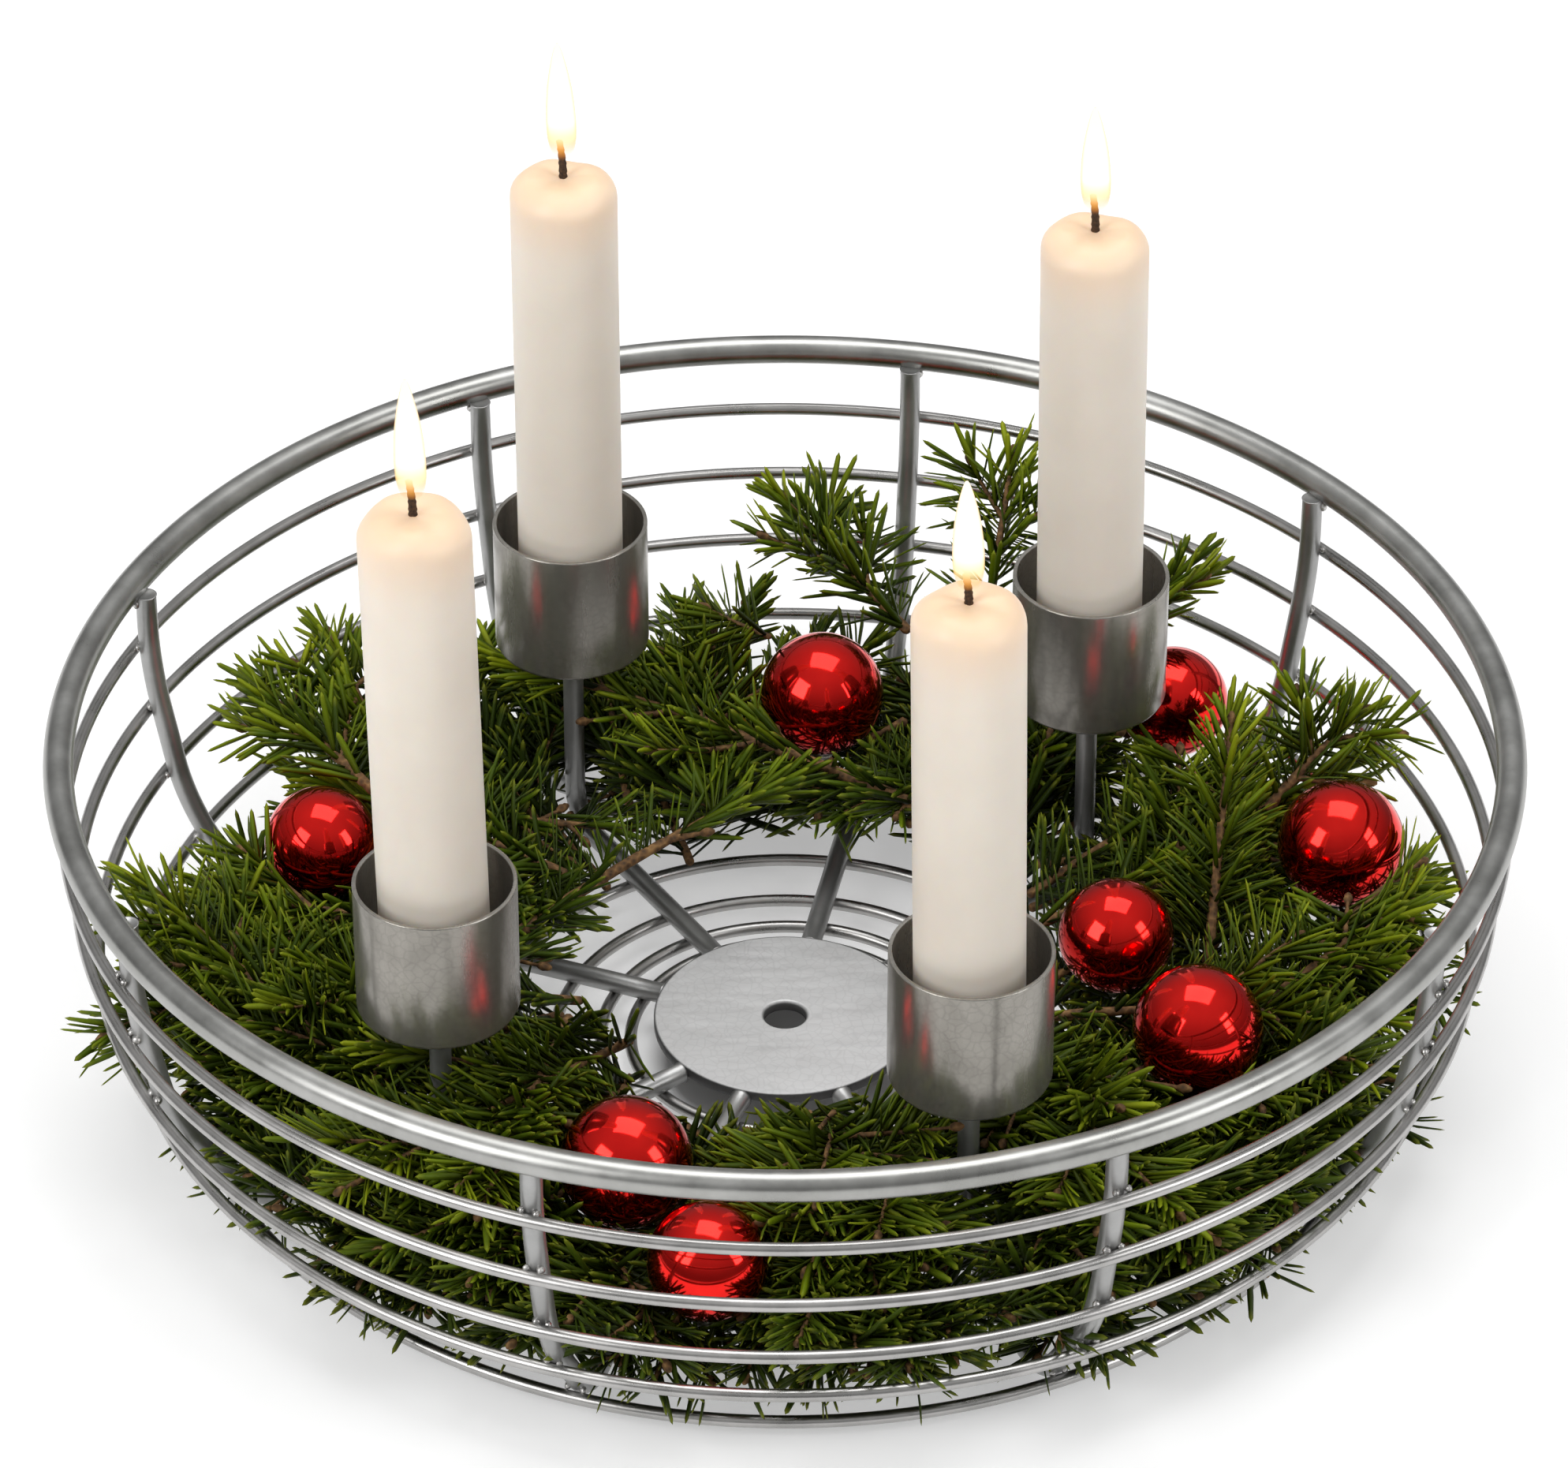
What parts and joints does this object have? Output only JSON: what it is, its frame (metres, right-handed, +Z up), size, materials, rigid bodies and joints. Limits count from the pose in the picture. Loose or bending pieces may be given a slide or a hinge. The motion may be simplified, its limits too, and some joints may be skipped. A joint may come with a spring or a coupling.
{
  "type": "advent candle holder",
  "caption": "Round welded wire bowl with candle cups on bent stems, candles that lift out of the cups, fir boughs and red baubles laid between the stems.",
  "frame": {"origin": "on the table, under the middle of the bowl", "axes": "+Z up along the bowl's axis; -Y is the front that the picture looks at; +X to the right"},
  "size_m": [0.34, 0.34, 0.2274],
  "materials": {
    "steel_rod": "satin",
    "steel_plate": "satin",
    "steel_cup": "brushed",
    "wax": "satin",
    "wick": "matte",
    "flame": "glowing",
    "red_bauble": "mirror gloss",
    "bauble_cap": "satin",
    "fir_green": "matte"
  },
  "bodies": {
    "bowl": {"rim_ring": "steel_rod", "rib_back": "steel_rod", "rib_left_back": "steel_rod", "rib_front_left": "steel_rod", "rib_right": "steel_rod", "rib_right_back": "steel_rod", "rib_back_left": "steel_rod", "rib_left": "steel_rod", "rib_front_right": "steel_rod", "wall_hoop_1": "steel_rod", "wall_hoop_2": "steel_rod", "wall_hoop_3": "steel_rod", "wall_hoop_4": "steel_rod", "wall_hoop_5": "steel_rod", "bottom_ring_1": "steel_rod", "bottom_ring_2": "steel_rod", "bottom_ring_3": "steel_rod", "bottom_ring_4": "steel_rod", "bottom_ring_5": "steel_rod", "centre_disc": "steel_plate", "stem_back_right": "steel_rod", "stem_back_left": "steel_rod", "stem_front_left": "steel_rod", "stem_front_right": "steel_rod", "cup_back_right": "steel_cup", "cup_back_left": "steel_cup", "cup_front_left": "steel_cup", "cup_front_right": "steel_cup", "candle_spikes": "steel_rod", "bauble_back": "red_bauble", "bauble_right_back": "red_bauble", "bauble_right": "red_bauble", "bauble_right_inner": "red_bauble", "bauble_front_right": "red_bauble", "bauble_left": "red_bauble", "bauble_front_left": "red_bauble", "bauble_front": "red_bauble", "bauble_caps": "bauble_cap", "fir_bough_back_right": "fir_green", "fir_bough_back": "fir_green", "fir_bough_back_left": "fir_green", "fir_bough_left_back": "fir_green", "fir_bough_left": "fir_green", "fir_bough_front_left": "fir_green", "fir_bough_front": "fir_green", "fir_bough_front_right": "fir_green", "fir_bough_right": "fir_green", "fir_bough_right_back": "fir_green"},
    "candle_back_right": {"candle_back_right": "wax", "wick_back_right": "wick", "flame_back_right": "flame"},
    "candle_back_left": {"candle_back_left": "wax", "wick_back_left": "wick", "flame_back_left": "flame"},
    "candle_front_left": {"candle_front_left": "wax", "wick_front_left": "wick", "flame_front_left": "flame"},
    "candle_front_right": {"candle_front_right": "wax", "wick_front_right": "wick", "flame_front_right": "flame"}
  },
  "joints": [
    {"name": "lift_candle_back_right", "type": "slide", "parent": "bowl", "child": "candle_back_right", "axis": [0, 0, 1], "range_m": [0, 0.045]},
    {"name": "lift_candle_back_left", "type": "slide", "parent": "bowl", "child": "candle_back_left", "axis": [0, 0, 1], "range_m": [0, 0.045]},
    {"name": "lift_candle_front_left", "type": "slide", "parent": "bowl", "child": "candle_front_left", "axis": [0, 0, 1], "range_m": [0, 0.045]},
    {"name": "lift_candle_front_right", "type": "slide", "parent": "bowl", "child": "candle_front_right", "axis": [0, 0, 1], "range_m": [0, 0.045]}
  ]
}
